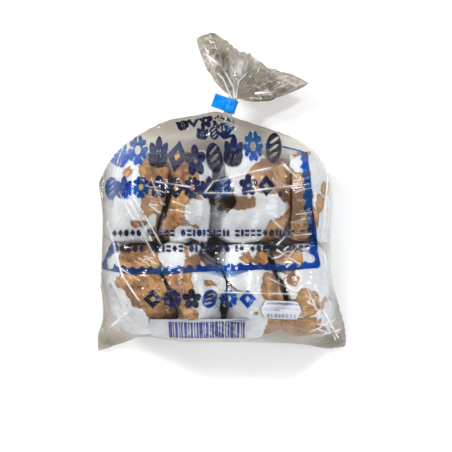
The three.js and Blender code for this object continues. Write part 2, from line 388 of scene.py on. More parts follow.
filmMaterial = makeFilmMaterial()
breadMaterial = makeBreadMaterial()
tapeMaterial = makeTapeMaterial()
inks = {name: makeInkMaterial(name + "Ink", look) for name, look in inkLooks.items()}
whiteInk = makePlainMaterial("whiteInk", (0.45, 0.465, 0.50, 1), (0.38, 0.395, 0.44, 1), 0.3)
labelPaper = makePlainMaterial("labelPaper", (0.54, 0.55, 0.59, 1), (0.47, 0.48, 0.52, 1), 0.55)
stripeInk = makePlainMaterial("stripeInk", (0.003, 0.008, 0.12, 1), (0.010, 0.035, 0.26, 1), 0.5)
greyInk = makePlainMaterial("greyInk", (0.20, 0.22, 0.30, 1), (0.32, 0.34, 0.42, 1), 0.5)
print("materials ready")


# the bread rings

breadRing = {
    "middleRadius": 19.9,    # all lengths in millimetres
    "ringHalf": 13.9,
    "thicknessHalf": 18.7,
    "fullness": 3.0,         # 2 would be a plain oval section
    "restHeight": 35.0,
    "squareness": 2.4,       # 2 would be a round ring, more fills the corners between its neighbours
    "slump": 0.06,           # how much wider it is near the table, from which height and over how much
    "slumpFrom": 38,
    "slumpOver": 30,
    "lump": 0.9,
    "wrinkle": 0.3,
    "crack": 0.9,
    "drawnIn": 0.5,
    "glazeThickness": 1.2,
    "glazeInCracks": 0.8,
    "glazeWaves": 0.25,
    "patchesAbove": 26,      # patches, clefts and knobs lie on the upper side alone
    "cleftsAbove": 30,
    "pressed": 1.6,          # how near its neighbour it starts to flatten
    "underFilm": 1.0,        # how far it stays inside the film
    "aboveTable": 0.5,
    "rounds": 108,
    "sides": 64,
}

# x and y of the middle, turn about the upright, lean of the face in degrees, stretch along the axis,
# share of pale crust, which side along the axis has the glaze and how far that runs over the middle.
# patches with and without glaze: x, y, half width, half height
rings = [
    {"x": -63, "y": -3, "turn": -4, "lean": -18, "wide": 1.14, "pale": 0.1, "side": -1, "over": 5,
     "white": [(-80, 4, 8, 22), (-72, -10, 9, 12), (-48, -20, 3, 6)],
     "bare": [(-68.5, 17.5, 5, 4), (-50, 5, 9, 24), (-59, -23, 6.5, 3.2)]},
    {"x": -25, "y": -3, "turn": 4, "lean": -2, "wide": 1.2, "pale": 0.0, "side": 1, "over": -10,
     "white": [(-18, -14, 8, 11), (-26, -33, 12, 8)], "bare": [(-28, 11, 11, 21), (-40, -16, 8, 11)]},
    {"x": 20, "y": -3, "turn": -6, "lean": -30, "wide": 1.18, "pale": 0.5, "side": -1, "over": 2,
     "white": [(6, 12, 12, 16), (6, -24, 17, 13), (34, -11, 14, 9)],
     "bare": [(33, 13, 18, 13), (7, -7.4, 18.5, 5)]},
    {"x": 63, "y": -3, "turn": 4, "lean": 4, "wide": 1.1, "pale": 0.0, "side": 1, "over": -4,
     "white": [(69, 8, 6, 17), (74, -16, 6, 11), (55, 22, 9, 7)],
     "bare": [(55, -7, 6.5, 17), (57, -25, 8, 7), (77.5, 3, 4, 7), (72, -9, 4, 8), (67.5, -19, 3.5, 6)]},
    {"x": -60, "y": -70, "turn": 22, "lean": -14, "wide": 1.08, "pale": 0.0, "side": -1, "over": -3,
     "white": [(-78, -80, 10, 16), (-62, -95, 14, 8)],
     "bare": [(-64, -48, 12, 6), (-68, -63, 11, 7), (-56, -70, 15, 14), (-49, -80, 8, 12)]},
    {"x": -20, "y": -70, "turn": 6, "lean": 3, "wide": 1.3, "pale": 0.0, "side": 1, "over": -4,
     "white": [(-35, -43.5, 9.5, 9.5), (-14, -70, 9, 14)],
     "bare": [(-29, -72, 8, 18), (-18.5, -47.5, 7.5, 5), (-5, -63.6, 4, 2.6), (-3.4, -74, 2.6, 3.4)]},
    {"x": 20.5, "y": -70, "turn": -1, "lean": -16, "wide": 1.18, "pale": 0.05, "side": -1, "over": 8,
     "white": [(11, -42, 14, 9), (8, -78, 20, 22)],
     "bare": [(17, -45, 7, 3.4), (36, -67, 8, 12), (24, -86, 4.5, 1.8), (29, -46, 6, 6)]},
    {"x": 58, "y": -70, "turn": 12, "lean": 8, "wide": 1.15, "pale": 0.0, "side": 1, "over": 8,
     "white": [(62, -57, 12, 9), (78, -92, 6, 12)],
     "bare": [(49.5, -60.5, 6, 5), (61, -79, 11, 11), (76, -80, 2.6, 5), (59, -98, 19, 9),
              (47, -46, 12, 9)]},
]


def glazeDepth(ring, along, point):
    depth = along * ring["side"] + ring["over"] + 6.0 * noise.noise(point * 45)
    if point.z > breadRing["patchesAbove"] * mm:
        for sign, patches in ((1, ring["white"]), (-1, ring["bare"])):
            for x, y, halfWidth, halfHeight in patches:
                away = math.hypot((point.x / mm - x) / halfWidth, (point.y / mm - y) / halfHeight)
                inside = (1 - away) * min(halfWidth, halfHeight) + 2.2 * noise.noise(point * 130)
                depth = max(depth, inside) if sign > 0 else min(depth, -inside)
    return depth + 1.3 * noise.noise(point * 260) + 0.6 * noise.noise(point * 600)


# where two neighbours press against each other, seen from above, and where the two rows meet
walls = {
    (0, 1): [(-36, 30), (-36, 11.3), (-38, -4), (-44.7, -26.5), (-45.5, -38)],
    (1, 2): [(-7.6, 30), (-9, -5), (-11.3, -34)],
    (2, 3): [(50.5, 30), (50.5, -12), (49, -38)],
    (4, 5): [(-44.7, -36), (-42.5, -57.8), (-36, -70.9), (-28, -90.5), (-26, -104)],
    (5, 6): [(-17, -36), (-15.6, -41.8), (-1.1, -52.7), (3.3, -62.2), (5, -70), (1.8, -78), (-2, -90)],
    (6, 7): [(33, -36), (36.5, -50), (42.5, -63), (46, -75), (43.5, -90), (42, -104)],
}
rowWall = -35.3


def wallAt(line, y):
    for (x0, y0), (x1, y1) in zip(line, line[1:]):
        if y > y1:
            return x0 + (x1 - x0) * min(max((y0 - y) / (y0 - y1), 0), 1)
    return line[-1][0]


def pressedTo(distance, soft):
    return distance if distance > soft else soft * math.exp(distance / soft - 1)


def pressRing(number, point):
    x, y, z = point / mm
    soft = breadRing["pressed"]
    sign = 1 if number < 4 else -1
    y = rowWall + sign * pressedTo(sign * (y - rowWall), soft)
    for (left, right), line in walls.items():
        if number in (left, right):
            sign = 1 if number == right else -1
            wall = wallAt(line, y)
            x = wall + sign * pressedTo(sign * (x - wall), soft)
    return Vector((x, y, z)) * mm


# clefts where rings are pressed together: sunk a little, and darkened with painted shade
clefts = [
    {"half": 3.4, "depth": 2, "shade": 0, "line": [(-7, -5), (4, -7.4), (21, -8.6)]},
    {"half": 1.1, "depth": 2.5, "shade": 0.9,
     "line": [(-15.6, -41.8), (-5.5, -49.8), (-1.1, -52.7), (3.3, -62.2), (8.4, -69.4), (15.6, -70.2)]},
    {"half": 3.4, "depth": 3, "shade": 0.6, "line": [(1.8, -75), (2.5, -90)]},
    {"half": 1.0, "depth": 2, "shade": 0.7, "line": [(-36, 11.3), (-38, -4), (-44.7, -26.5)]},
    {"half": 1.0, "depth": 1, "shade": 0.8, "line": [(-42.5, -57.8), (-36, -70.9), (-28, -90.5)]},
    {"half": 1.3, "depth": 2.5, "shade": 0.9,
     "line": [(35, -45), (36.5, -50), (42.5, -63), (46.5, -75), (47, -82)]},
    {"half": 1.6, "depth": 2.5, "shade": 0.8, "line": [(-22.9, -33.4), (-16, -36), (-10, -41)]},
]
# round knobs where a ring's dough ends: x, y, radius, height
knobs = [(-35, -43.2, 9.6, 3.5), (63, -78.5, 11, 2.5)]
# darker spots on the crust, the first of them painted shade in the third ring's hole: x, y, half width, half
# height
toastAndShadeSpots = [
    (12, -7.6, 20, 7), (44, -4, 5, 13), (54, -9, 5.5, 16), (61, -24, 4, 5), (-19, -48, 7, 5),
    (49.5, -60.5, 6, 5), (43, -42, 8, 7), (-54, -22, 9, 4), (-66, -10, 3, 14), (38, -68, 3, 12),
    (-26, 20, 12, 4), (36, 22, 14, 4),
]


def cleftAt(point):
    shade, depth = 0.0, 0.0
    if point.z > breadRing["cleftsAbove"] * mm:
        for cleft in clefts:
            away = nearLine(point.x / mm, point.y / mm, cleft["line"])
            if away < cleft["half"] * 2:
                here = math.exp(-((away / cleft["half"]) ** 4))
                shade, depth = max(shade, here * cleft["shade"]), max(depth, here * cleft["depth"])
    return shade, depth


def knobHeight(point):
    height = 0.0
    for x, y, radius, tall in knobs:
        away = math.hypot(point.x / mm - x, point.y / mm - y) / radius
        if point.z > breadRing["cleftsAbove"] * mm and away < 1:
            height = max(height, tall * math.sqrt(1 - away ** 2.5))
    return height


def toastAndShadeAt(point):
    toast = 0.0
    for x, y, halfWidth, halfHeight in toastAndShadeSpots:
        away = math.hypot((point.x / mm - x) / halfWidth, (point.y / mm - y) / halfHeight)
        toast = max(toast, 0.85 * (1 - ramp(0.5, 1.2, away + 0.4 * noise.noise(point * 200))))
    return toast


def nearLine(x, y, points):
    best = 1e9
    for (x0, y0), (x1, y1) in zip(points, points[1:]):
        length = (x1 - x0) ** 2 + (y1 - y0) ** 2
        t = min(max(((x - x0) * (x1 - x0) + (y - y0) * (y1 - y0)) / length, 0), 1)
        best = min(best, math.hypot(x - x0 - t * (x1 - x0), y - y0 - t * (y1 - y0)))
    return best


def startRing(name):
    sizes = breadRing
    deselectAll()
    bpy.ops.mesh.primitive_torus_add(
        major_radius=sizes["middleRadius"] * mm, minor_radius=sizes["ringHalf"] * mm,
        major_segments=sizes["rounds"], minor_segments=sizes["sides"])
    piece = bpy.context.object
    piece.name = name
    bpy.ops.object.mode_set(mode="EDIT")
    bpy.ops.mesh.select_all(action="SELECT")
    stretch = sizes["thicknessHalf"] / sizes["ringHalf"]
    bpy.ops.transform.resize(value=(1, 1, stretch), center_override=(0, 0, 0))
    bpy.ops.object.mode_set(mode="OBJECT")
    power = sizes["fullness"]
    for vertex in piece.data.vertices:
        out = vertex.co.xy.normalized() * sizes["middleRadius"] * mm
        across = (vertex.co.xy - out).length / (sizes["ringHalf"] * mm)
        upward = abs(vertex.co.z) / (sizes["thicknessHalf"] * mm)
        fuller = (across ** power + upward ** power) ** (-1 / power)
        vertex.co.xy = out + (vertex.co.xy - out) * fuller
        vertex.co.z *= fuller
    piece.data.update()
    return piece


def roughenCrust(mesh, seed):
    # lumps, cracks and fine wrinkles, before the ring is set in its place
    sizes = breadRing
    offset = Vector((seed * 3.7, seed * 1.9, seed * 5.3))
    normals = [vertex.normal.copy() for vertex in mesh.vertices]
    dents = []
    for vertex, normal in zip(mesh.vertices, normals):
        spot = vertex.co * 1000
        around = math.atan2(spot.y, spot.x)
        lump = noise.noise(spot / 17 + offset)
        wrinkle = noise.noise(Vector((around * 2.2, spot.z / 3.2, spot.xy.length / 3.2)) + offset)
        crack = abs(noise.noise(spot / 10 + offset * 2) + 0.5 * noise.noise(spot / 5 + offset))
        dent = 1 - ramp(0.0, 0.12, crack)
        rough = sizes["lump"] * lump - sizes["drawnIn"] - sizes["crack"] * dent + sizes["wrinkle"] * wrinkle
        vertex.co += normal * mm * rough
        dents.append(dent)
    return dents


def setInPlace(mesh, ring, seed):
    # stood on its rim, squared and slumped a little, and pressed against its neighbours
    sizes = breadRing
    power = sizes["squareness"]
    tilt = Euler((0, math.radians(90 - ring["lean"]), math.radians(ring["turn"])), "XYZ")
    axis = tilt.to_matrix().to_4x4()
    spin = Matrix.Rotation(seed * 1.3, 4, "Z")
    middle = Vector((ring["x"], ring["y"], sizes["restHeight"])) * mm
    mesh.transform(Matrix.Translation(middle) @ axis @ spin)
    for vertex in mesh.vertices:
        wide = 1 + sizes["slump"] * ramp(0, sizes["slumpOver"], sizes["slumpFrom"] - vertex.co.z / mm)
        out = vertex.co - middle
        square = math.hypot(out.y, out.z) / (abs(out.y) ** power + abs(out.z) ** power) ** (1 / power)
        place = middle + Vector((out.x * wide * ring["wide"], out.y * wide * square, out.z * square))
        vertex.co = pressRing(seed - 1, place)
    mesh.update()
    return middle, axis.to_3x3() @ Vector((0, 0, 1))


def keepInside(place):
    inside = breadRing["underFilm"] * mm
    for again in range(3):
        spot, outward, number, distance = bagTree.find_nearest(place)
        if (spot - place).dot(outward) < inside:
            place = spot - outward * inside
    return place


def layGlaze(mesh, ring, middle, direction, dents):
    # the glaze stands over the crust as a soft ledge
    sizes = breadRing
    normals = [vertex.normal.copy() for vertex in mesh.vertices]
    fields = {"glaze": [], "dent": [], "cleftShade": [], "toastAndShade": [], "pale": []}
    for vertex, normal, dent in zip(mesh.vertices, normals, dents):
        along = (vertex.co - middle).dot(direction) / mm
        shade, sunk = cleftAt(vertex.co)
        depth = glazeDepth(ring, along, vertex.co)
        cover = ramp(-0.5, 0.8, depth)
        thickness = sizes["glazeThickness"] + sizes["glazeInCracks"] * dent
        raised = cover * thickness + knobHeight(vertex.co) - sunk
        waves = cover * sizes["glazeWaves"] * noise.noise(vertex.co * 150)
        vertex.co += normal * mm * (raised + waves)
        vertex.co.z = max(vertex.co.z, sizes["aboveTable"] * mm)
        vertex.co = keepInside(vertex.co)
        fields["glaze"].append(min(max(0.5 + depth / 4, 0), 1))
        fields["dent"].append(dent * (1 - cover))
        fields["cleftShade"].append(shade)
        fields["toastAndShade"].append(toastAndShadeAt(vertex.co))
        fields["pale"].append(ring["pale"])
    for name, values in fields.items():
        addAttribute(mesh, name, values)


def bakeRing(name, ring, seed):
    piece = startRing(name)
    dents = roughenCrust(piece.data, seed)
    middle, direction = setInPlace(piece.data, ring, seed)
    layGlaze(piece.data, ring, middle, direction, dents)
    smoothShade(piece)
    finishPiece(piece, "bag", breadMaterial)


bagTree = BVHTree.FromObject(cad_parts["bag"], bpy.context.evaluated_depsgraph_get())
for index, ring in enumerate(rings):
    bakeRing("bread_ring_%d" % (index + 1), ring, index + 1)
print("bread rings ready")


# the film, from the solid's own form: refined, creased and crinkled

film = {
    "crinkle": 0.8,        # height of the loose film's ridges, in millimetres
    "taut": 0.12,          # the same where it lies on bread
    "contact": 61.0,       # above this height it lies on bread
    "pleats": 24,          # round the neck
    "pleatDepth": 0.45,
    "pleatReach": 24,
    "neck": (6.6, 64.4),
    "tailHead": (9.1, 71.3),
    "tailFrom": 68.5,      # the tail begins between these two, measured up a sloping line
    "tailTo": 73,
    "tailSlope": 0.36,
    "tailFold": 1.5,
    "tailFineFold": 0.7,
    "creaseReach": 5,      # in half widths
    "refineBeyond": 0.8,   # how far past a crease's half width the faces are made finer
    "backTo": 60,          # the back film is a piece of its own up to here
    "sharp": 62,           # edges of the solid that stay sharp folds, in degrees
}
# how taupe the film is over the empty dome, the bottom corners, the sides, the tail and near the table
filmTint = {"dome": 0.8, "ears": 0.68, "sides": 0.75, "tail": 1.0, "low": 0.8}

# creases that catch the light: height, half width and points, in millimetres
creaseLines = [
    (1.5, 0.48, [(-72, 0), (-48, -45)]),
    (0.9, 0.42, [(-63, -1), (-42, -39)]),
    (0.7, 0.36, [(-66, -3), (-50, -34)]),
    (1.2, 0.48, [(-82, -21), (-70, -59), (-58, -76)]),
    (1.0, 0.42, [(-71, -54), (-58, -62)]),
    (1.4, 0.48, [(-12, 0), (-6, 8), (15, 13), (46, 20)]),
    (1.3, 0.48, [(-12, 0), (13, 0), (35, 3), (62, 6)]),
    (1.3, 0.48, [(37, -20), (44, -26)]),
    (1.2, 0.42, [(40, -37), (46, -31), (64, -29)]),
    (1.3, 0.48, [(40, -41), (56, -51)]),
    (1.1, 0.42, [(32, -60), (53, -70)]),
    (1.0, 0.42, [(0, -71), (24, -71), (52, -72)]),
    (0.9, 0.42, [(53, -70), (60, -64)]),
    (0.8, 0.36, [(-35, -6), (-24, -10)]),
    (0.8, 0.36, [(-36, -12), (-22, -14)]),
    (0.8, 0.36, [(-47, 8), (-22, 4)]),
    (1.4, 0.6, [(61, -68), (66, -80), (71, -88)]),
    (1.2, 0.54, [(66, -66), (72, -78)]),
    (1.2, 0.54, [(-86, -102), (-64, -82)]),
    (1.4, 0.54, [(86, -106), (68, -76)]),
    (1.2, 0.54, [(64, -104), (88, -100)]),
    (1.0, 0.48, [(76, 18), (72, -30), (75, -56)]),
    (1.3, 0.7, [(9.5, 70), (9, 78), (2, 89.5), (-10.8, 103)]),
    (1.0, 0.55, [(10.5, 70), (12.2, 82.5), (19, 90)]),
    (0.9, 0.45, [(7.5, 70), (1, 84), (-12, 98)]),
    (0.8, 0.5, [(25, 73.4), (38, 74.5)]),
    (0.9, 0.5, [(-13, 111), (-9, 103)]),
    (1.2, 0.6, [(70, -98), (80, -103)]),
    (1.0, 0.5, [(60, -100), (72, -96)]),
    (0.8, 0.36, [(-50, 10), (-42, -8)]),
    (0.8, 0.36, [(44, 22), (56, 8)]),
    (0.7, 0.33, [(40, 24), (50, 14)]),
]

# fans of short creases: x, y, spread in x and y, length, direction and sway in degrees, and how many
crumples = [
    (57, -8, 4, 20, 10, 12, 8, 9),
    (66.5, -73, 5, 6, 6, 60, 90, 11),
    (-54, -49, 5, 3, 7, -40, 30, 7),
    (46, 14, 8, 9, 7, -50, 25, 7),
    (50, -42, 9, 4, 8, 20, 30, 6),
    (-74, 22, 5, 12, 9, 75, 20, 5),
    (77, -98, 7, 6, 9, -30, 50, 8),
    (-80, -100, 6, 6, 9, 40, 40, 6),
    (-45, -5, 6, 10, 7, -15, 25, 7),
]
creases = []


def addCrease(line, height, half):
    reach = half * film["creaseReach"]
    xs, ys = zip(*line)
    around = (min(xs) - reach, max(xs) + reach, min(ys) - reach, max(ys) + reach)
    creases.append({"line": line, "height": height, "half": half, "around": around})


for height, half, line in creaseLines:
    addCrease(line, height, half)
draw = random.Random(5)
for middleX, middleY, spreadX, spreadY, length, direction, sway, count in crumples:
    for k in range(count):
        x = middleX + spreadX * draw.uniform(-1, 1)
        y = middleY + spreadY * draw.uniform(-1, 1)
        turn = math.radians(direction + sway * draw.uniform(-1, 1))
        half = 0.5 * length * draw.uniform(0.5, 1.2)
        sag = draw.uniform(-0.8, 0.8)
        c, s = math.cos(turn), math.sin(turn)
        line = [(x - half * c, y - half * s), (x - sag * s, y + sag * c), (x + half * c, y + half * s)]
        addCrease(line, draw.uniform(0.4, 0.8), draw.uniform(0.26, 0.4))


def softRidges(x, y, z, size):
    # long soft ridges in a few directions, each present only here and there
    total = 0.0
    for index, (turn, along, across) in enumerate(((25, 42, 9), (100, 50, 11), (150, 34, 8), (62, 30, 6))):
        c, s = math.cos(math.radians(turn)), math.sin(math.radians(turn))
        place = Vector(((x * c + y * s) / along, (y * c - x * s) / across, z / 30 + index * 9.1)) / size
        crest = max(0.0, 1 - abs(noise.noise(place)) * 5.5) ** 2
        presence = ramp(0.05, 0.4, noise.noise(Vector((x / 38, y / 38, index * 4.7 + 2))))
        total += crest * presence
    return total


def tailFolds(place, facing, inTail):
    # soft folds that fan out from the neck, with painted highlights along their crests and along one bright
    # fold
    x, y, z = place / mm
    outX, outY = x - film["tailHead"][0], y - film["tailHead"][1]
    reach = math.hypot(outX, outY)
    turn = math.atan2(outY, outX)
    fold = 1 - 2 * abs(noise.noise(Vector((turn * 4, reach / 60, 3.3))) * 2)
    fine = 1 - 2 * abs(noise.noise(Vector((turn * 9.5, reach / 32, 7.7))) * 2)
    height = inTail * (film["tailFold"] * fold + film["tailFineFold"] * fine) * ramp(0, 25, reach)
    height += 0.5 * softRidges(x, y, z, 0.7)
    height *= ramp(0.25, 0.6, abs(facing))
    rough = softRidges(x * 1.7, y * 1.7, z + 40, 0.8)
    # painted highlights: a bright band in one direction from the neck, streaks on the fine fold crests and
    # on the rough ridges
    foldHighlight = 0.14 * math.exp(-((turn - 1.2) / 0.45) ** 2) + 0.1 * noise.noise(place * 70)
    streakHighlight = 0.22 * ramp(0.82, 0.98, fine) * ramp(-0.1, 0.3, noise.noise(place * 50))
    return height, inTail * (foldHighlight + streakHighlight + 0.12 * ramp(0.84, 1, fold) + 0.3 * min(rough, 1))


def addCreases(place, height, white):
    x, y = place.x / mm, place.y / mm
    for crease in creases:
        lowX, highX, lowY, highY = crease["around"]
        if lowX < x < highX and lowY < y < highY:
            away = nearLine(x, y, crease["line"])
            if away < crease["half"] * film["creaseReach"]:
                crest = math.exp(-(away / crease["half"]) ** 1.3)
                height = max(height, crease["height"] * crest)
                # painted highlight along the crease's crest
                white = max(white, crest * (0.55 + 0.9 * noise.noise(place * 90)))
    return height, white


def taupeAt(x, y, z, inTail):
    return max(
        filmTint["dome"] * ramp(24, 52, y),
        filmTint["ears"] * ramp(96, 112, -y) * ramp(52, 80, abs(x)),
        filmTint["sides"] * ramp(77, 88, abs(x)),
        filmTint["tail"] * inTail,
        filmTint["low"] * (1 - ramp(4, 36, z)),
    )


def shapeFilm(piece):
    mesh = piece.data
    neckX, neckY = film["neck"]
    normals = [vertex.normal.copy() for vertex in mesh.vertices]
    tints, creaseHighlights = [], []
    for vertex, normal in zip(mesh.vertices, normals):
        x, y, z = vertex.co / mm
        inTail = ramp(film["tailFrom"], film["tailTo"], y + film["tailSlope"] * x)
        if inTail:
            height, white = tailFolds(vertex.co, normal.z, inTail)
        else:
            fromNeck = math.hypot(x - neckX, y - neckY)
            around = math.atan2(y - neckY, x - neckX)
            loose = 1 - ramp(film["contact"] - 14, film["contact"] + 5, z)
            wrinkle = softRidges(x, y, z, 1.0)
            height = (film["taut"] + (film["crinkle"] - film["taut"]) * loose) * wrinkle
            # painted highlight along the soft ridges
            white = 0.03 * wrinkle
            pleat = math.cos(film["pleats"] * around + 5 * noise.noise(vertex.co * 40))
            fading = math.exp(-((fromNeck / film["pleatReach"]) ** 2))
            height += film["pleatDepth"] * pleat * fading * ramp(5, 14, fromNeck)
        if normal.z > 0:
            height, white = addCreases(vertex.co, height, white)
        if normal.z < 0 and not inTail:
            height *= ramp(0.3, 4, z)
        vertex.co += normal * mm * height
        vertex.co.z = max(vertex.co.z, 0)
        tints.append(taupeAt(x, y, z, inTail))
        creaseHighlights.append(min(max(white, 0.0), 1.0))
    addAttribute(mesh, "tint", tints)
    addAttribute(mesh, "crease", creaseHighlights)


def spreadFilm():
    front = copySolid("bag", "film_front")
    mesh = front.data
    bpy.ops.object.mode_set(mode="EDIT")
    bpy.ops.mesh.tris_convert_to_quads(face_threshold=math.radians(50), shape_threshold=math.radians(50))
    bpy.ops.mesh.select_all(action="DESELECT")
    bpy.ops.mesh.edges_select_sharp(sharpness=math.radians(film["sharp"]))
    bpy.ops.transform.edge_crease(value=0.7)
    bpy.ops.object.mode_set(mode="OBJECT")
    applyModifier(front, "SUBSURF", levels=1, render_levels=1)

    # the back film becomes a piece of its own, so that the front can be finer
    for face in mesh.polygons:
        face.select = face.normal.z < -0.02 and face.center.y < film["backTo"] * mm
    makeActive(front)
    bpy.ops.object.mode_set(mode="EDIT")
    bpy.ops.mesh.separate(type="SELECTED")
    bpy.ops.object.mode_set(mode="OBJECT")
    back = [piece for piece in bpy.context.selected_objects if piece is not front][0]
    back.name = "film_back"
    applyModifier(front, "SUBSURF", levels=1, render_levels=1)

    for face in mesh.polygons:
        x, y = face.center.x / mm, face.center.y / mm
        face.select = face.normal.z > 0 and any(
            crease["around"][0] < x < crease["around"][1]
            and nearLine(x, y, crease["line"]) < crease["half"] + film["refineBeyond"] for crease in creases)
    makeActive(front)
    bpy.ops.object.mode_set(mode="EDIT")
    bpy.ops.mesh.subdivide(number_cuts=2, quadcorner="INNERVERT")
    bpy.ops.object.mode_set(mode="OBJECT")
    for piece in (front, back):
        piece.data.update()
        shapeFilm(piece)
        smoothShade(piece)
        finishPiece(piece, "bag", filmMaterial)
    return front


filmPiece = spreadFilm()
filmTree = BVHTree.FromObject(filmPiece, bpy.context.evaluated_depsgraph_get())
print("film ready,", len(filmPiece.data.polygons), "faces in front")


# flat print, cut to its outline and laid against the film
printLay = {"lift": -0.15, "spacing": 0.9}    # just under the film's outer face, in millimetres


def onFilm(x, y, lift):
    hit, normal, index, distance = filmTree.ray_cast(Vector((x * mm, y * mm, 0.2)), Vector((0, 0, -1)))
    if hit is None or normal.z < 0.02:
        return None
    return hit + normal * lift * mm


def layOnFilm(name, outlines, holes, lift, material, node, spacing):
    points, faces = [], []
    for outline in outlines + holes:
        area = sum(a[0] * b[1] - b[0] * a[1] for a, b in zip(outline, outline[1:] + outline[:1]))
        faces.append(list(range(len(points), len(points) + len(outline))))
        points += [Vector(p) for p in (outline if area > 0 else reversed(outline))]
    lowX, highX = min(p.x for p in points), max(p.x for p in points)
    lowY, highY = min(p.y for p in points), max(p.y for p in points)
    for row in range(int((highY - lowY) / spacing) + 1):
        for column in range(int((highX - lowX) / spacing) + 1):
            shift = 0.5 * spacing * (row % 2)
            points.append(Vector((lowX + column * spacing + shift, lowY + row * spacing)))
    cut = delaunay_2d_cdt(points, [], faces, 1, 1e-4, True)
    places = [onFilm(p.x, p.y, lift) for p in cut[0]]
    firstHole = len(outlines)
    kept = [face for face, sources in zip(cut[2], cut[5])
            if sources and max(sources) < firstHole and all(places[i] is not None for i in face)]
    used = sorted({i for face in kept for i in face})
    numbers = {old: new for new, old in enumerate(used)}
    mesh = bpy.data.meshes.new(name)
    mesh.from_pydata([places[i] for i in used], [], [[numbers[i] for i in face] for face in kept])
    piece = bpy.data.objects.new(name, mesh)
    bpy.context.scene.collection.objects.link(piece)
    smoothShade(piece)
    finishPiece(piece, node, material)
    return piece


def oval(width, height, x=0.0, y=0.0, turn=0.0, steps=24, pointed=0.0):
    outline = []
    c, s = math.cos(turn), math.sin(turn)
    for step in range(steps):
        angle = 2 * math.pi * step / steps
        px, py = 0.5 * width * math.cos(angle), 0.5 * height * math.sin(angle)
        px *= 1 - pointed * abs(math.sin(angle)) ** 2
        outline.append((x + px * c - py * s, y + px * s + py * c))
    return outline


def box(width, height, x, y, turn=0.0):
    c, s = math.cos(turn), math.sin(turn)
    corners = ((-0.5, -0.5), (0.5, -0.5), (0.5, 0.5), (-0.5, 0.5))
    return [(x + a * width * c - b * height * s, y + a * width * s + b * height * c) for a, b in corners]


# each motif is one unit high: what is inked, and what is left out of it

def wheatEar():
    inked = [box(0.16, 0.5, 0, -0.25), oval(0.34, 0.5, 0, 0.25, 0, 16, 0.4)]
    for level in (-0.26, 0.06):
        for sign in (-1, 1):
            inked.append(oval(0.34, 0.54, sign * 0.27, level, -sign * 0.6, 16, 0.4))
    return inked, []


def lozenge():
    return [oval(0.98, 1.0, steps=4)], [oval(0.32, 0.36, steps=4)]


def flower():
    petals = [oval(0.36, 0.46, 0.29 * math.cos(t), 0.29 * math.sin(t), t - math.pi / 2, 16)
              for t in (math.radians(90 + 72 * k) for k in range(5))]
    return petals + [oval(0.3, 0.3)], [oval(0.17, 0.17)]


def loaf():
    slits = [oval(0.5, 0.11, 0, 0.25 * k, 0.5, 12) for k in (-1, 0, 1)]
    return [oval(0.82, 1.0, 0, 0, 0, 28)], slits


def shell():
    ribs = [oval(0.24, 0.86, 0.4 * math.sin(t), -0.42 + 0.42 * math.cos(t), -t, 18)
            for t in (math.radians(30 * k) for k in (-2, -1, 0, 1, 2))]
    return ribs + [oval(0.4, 0.26, 0, -0.36)], []


def breadMotif():
    outline = [(r * math.cos(t), r * math.sin(t)) for t, r in
               ((math.radians(7.5 * k), 0.46 + 0.045 * math.cos(math.radians(75 * k))) for k in range(48))]
    cuts = [oval(0.07, 0.2, 0.34 * math.cos(t), 0.34 * math.sin(t), t - math.pi / 2, 8)
            for t in (math.radians(18 + 72 * k) for k in range(5))]
    return [outline], [oval(0.3, 0.3)] + cuts


motifs = {"ear": wheatEar, "lozenge": lozenge, "flower": flower, "loaf": loaf, "shell": shell,
          "bread": breadMotif}


def placed(shapes, x, y, height, turn, widen):
    c, s = math.cos(math.radians(turn)), math.sin(math.radians(turn))
    return [[(x + height * (px * widen * c - py * s), y + height * (px * widen * s + py * c))
             for px, py in shape] for shape in shapes]


# rows of print: motif, x, y, height, turn and ink, in millimetres and degrees
printRows = {
    "print_arch": {"widen": 0.62, "row": [
        ("shell", -74, 29, 22, 14, "blue"), ("bread", -60.5, 31.5, 24, 6, "blue"),
        ("ear", -45.5, 30.5, 24, 0, "navy"), ("lozenge", -32, 27, 24, -8, "navy"),
        ("flower", -18.5, 23.5, 24, 6, "navy"), ("loaf", -5, 26, 23, 10, "navy"),
        ("ear", 8.5, 31.5, 24, -4, "navy"), ("bread", 23, 34.5, 24, 0, "blue"),
        ("loaf", 38, 33.5, 23, -6, "navy")]},
    "print_emblem": {"widen": 0.85, "row": [
        ("ear", -29, 52, 11, 24, "navy"), ("lozenge", -21, 54, 11, 10, "navy"),
        ("flower", -11.5, 54, 12, 0, "navy"), ("bread", -2, 52.5, 11, -10, "navy"),
        ("ear", 5.5, 51, 10, 10, "blue"), ("ear", -14, 45, 11, -6, "navy"),
        ("loaf", -5.5, 44.5, 10, 12, "navy"), ("shell", 3, 45, 11, -14, "navy")]},
    "print_second": {"widen": 0.8, "row": [
        ("loaf", -80, 4, 16, 0, "blue"), ("ear", -69.5, 4, 16.5, 0, "blue"),
        ("bread", -57, 4, 16.5, 0, "blue"), ("flower", -44.5, 4, 16.5, 0, "navy"),
        ("lozenge", -32.5, 3.6, 16, 0, "navy"), ("bread", -20.5, 3.6, 16.5, 0, "navy"),
        ("ear", -8.5, 4, 16.5, 0, "navy"), ("loaf", 2, 4.5, 15.5, 0, "blue"),
        ("flower", 19, 5.5, 16, 0, "navy"), ("lozenge", 32, 5, 15.5, 0, "navy"),
        ("loaf", 42, -0.5, 4, 0, "navy")]},
    "print_lower": {"widen": 0.95, "row": [
        ("lozenge", -48.5, -75.4, 14, 0, "navy"), ("bread", -34.8, -75.4, 14, 0, "navy"),
        ("flower", -21, -75.4, 14.5, 0, "navy"), ("loaf", -8, -75.4, 13.5, -20, "blue"),
        ("bread", 5, -75.4, 13.5, 0, "blue"), ("lozenge", 18.5, -75.4, 13.5, 0, "blue")]},
}


def printOn(name, inked, left, ink):
    layOnFilm(name, inked, left, printLay["lift"], ink, "bag", printLay["spacing"])


